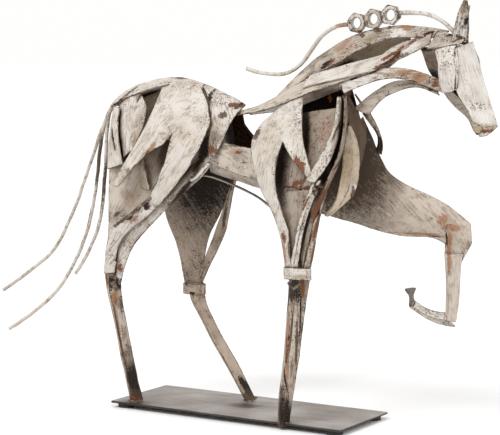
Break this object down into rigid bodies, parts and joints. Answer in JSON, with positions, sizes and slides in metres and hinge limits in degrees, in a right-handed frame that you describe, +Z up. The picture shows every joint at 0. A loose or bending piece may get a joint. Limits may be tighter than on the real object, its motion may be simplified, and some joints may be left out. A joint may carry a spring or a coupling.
{
  "type": "horse sculpture",
  "caption": "Walking horse statue welded from hand-cut sheet-metal strips and rods, with hex nuts in its mane, on a low steel plate with rubber feet.",
  "frame": {"origin": "on the floor under the middle of the whole sculpture's bounding box", "axes": "+X towards the horse's head, +Y towards the horse's left side, +Z up"},
  "size_m": [0.4238, 0.078, 0.2911],
  "materials": {
    "pale_paint": "thin off-white brushed paint, rust showing through at cut edges and welds",
    "grey_paint": "grey and beige brushed paint with brown bare patches",
    "tan_paint": "worn pinkish-tan paint in the inner and shaded sheets",
    "brown_steel": "bare brown rusted steel with faint paint streaks",
    "plate_steel": "dark grey-brown rubbed steel, softly rounded edge",
    "foot_rubber": "matt black"
  },
  "bodies": {
    "root": {"croup_strip": "pale_paint", "tail_rod_left": "pale_paint", "tail_rod_middle": "pale_paint", "tail_rod_right": "pale_paint", "neck_strap_right": "pale_paint", "neck_strap_left": "pale_paint", "neck_overlay_strap": "pale_paint", "right_thigh_fork": "pale_paint", "right_buttock_leaf_outer": "pale_paint", "right_shoulder_fork": "pale_paint", "right_crescent_strap": "pale_paint", "right_forearm_ribbon": "pale_paint", "right_knee_collar": "pale_paint", "left_hock_collar": "pale_paint", "face_plate": "pale_paint", "right_cheek": "pale_paint", "left_fore_cannon": "pale_paint", "left_pastern": "pale_paint", "left_stifle_strap": "pale_paint", "mane_rod_rear": "pale_paint", "mane_rod_front": "pale_paint", "mane_nut_rear": "grey_paint", "mane_nut_middle": "grey_paint", "mane_nut_front": "grey_paint", "crest_strip": "grey_paint", "poll_strap": "grey_paint", "poll_plate": "grey_paint", "right_ear": "grey_paint", "left_ear": "grey_paint", "throat_strap_upper": "grey_paint", "left_forearm_sheet": "grey_paint", "left_thigh_sheet": "grey_paint", "left_hind_cannon": "grey_paint", "right_hind_cannon": "grey_paint", "right_fore_cannon": "grey_paint", "right_gaskin_sheet": "grey_paint", "right_loin_leaf": "grey_paint", "right_buttock_leaf_inner": "grey_paint", "left_cheek": "grey_paint", "left_rump_sheet": "grey_paint", "left_shoulder_sheet": "grey_paint", "chest_loop": "grey_paint", "belly_rod": "grey_paint", "right_thigh_rear_sheet": "tan_paint", "right_edge_strap": "tan_paint", "right_shoulder_plate": "tan_paint", "right_chest_leaf": "tan_paint", "chest_sheet": "tan_paint", "throat_strap_lower": "tan_paint", "jaw_bar": "tan_paint", "left_flank_sheet": "tan_paint", "right_flank_band": "tan_paint", "right_forearm_front": "brown_steel", "neck_sheet_left": "brown_steel", "left_fore_hoof": "brown_steel", "base_plate": "plate_steel", "rubber_foot_hind_right": "foot_rubber", "rubber_foot_hind_left": "foot_rubber", "rubber_foot_fore_right": "foot_rubber", "rubber_foot_fore_left": "foot_rubber"}
  },
  "joints": []
}
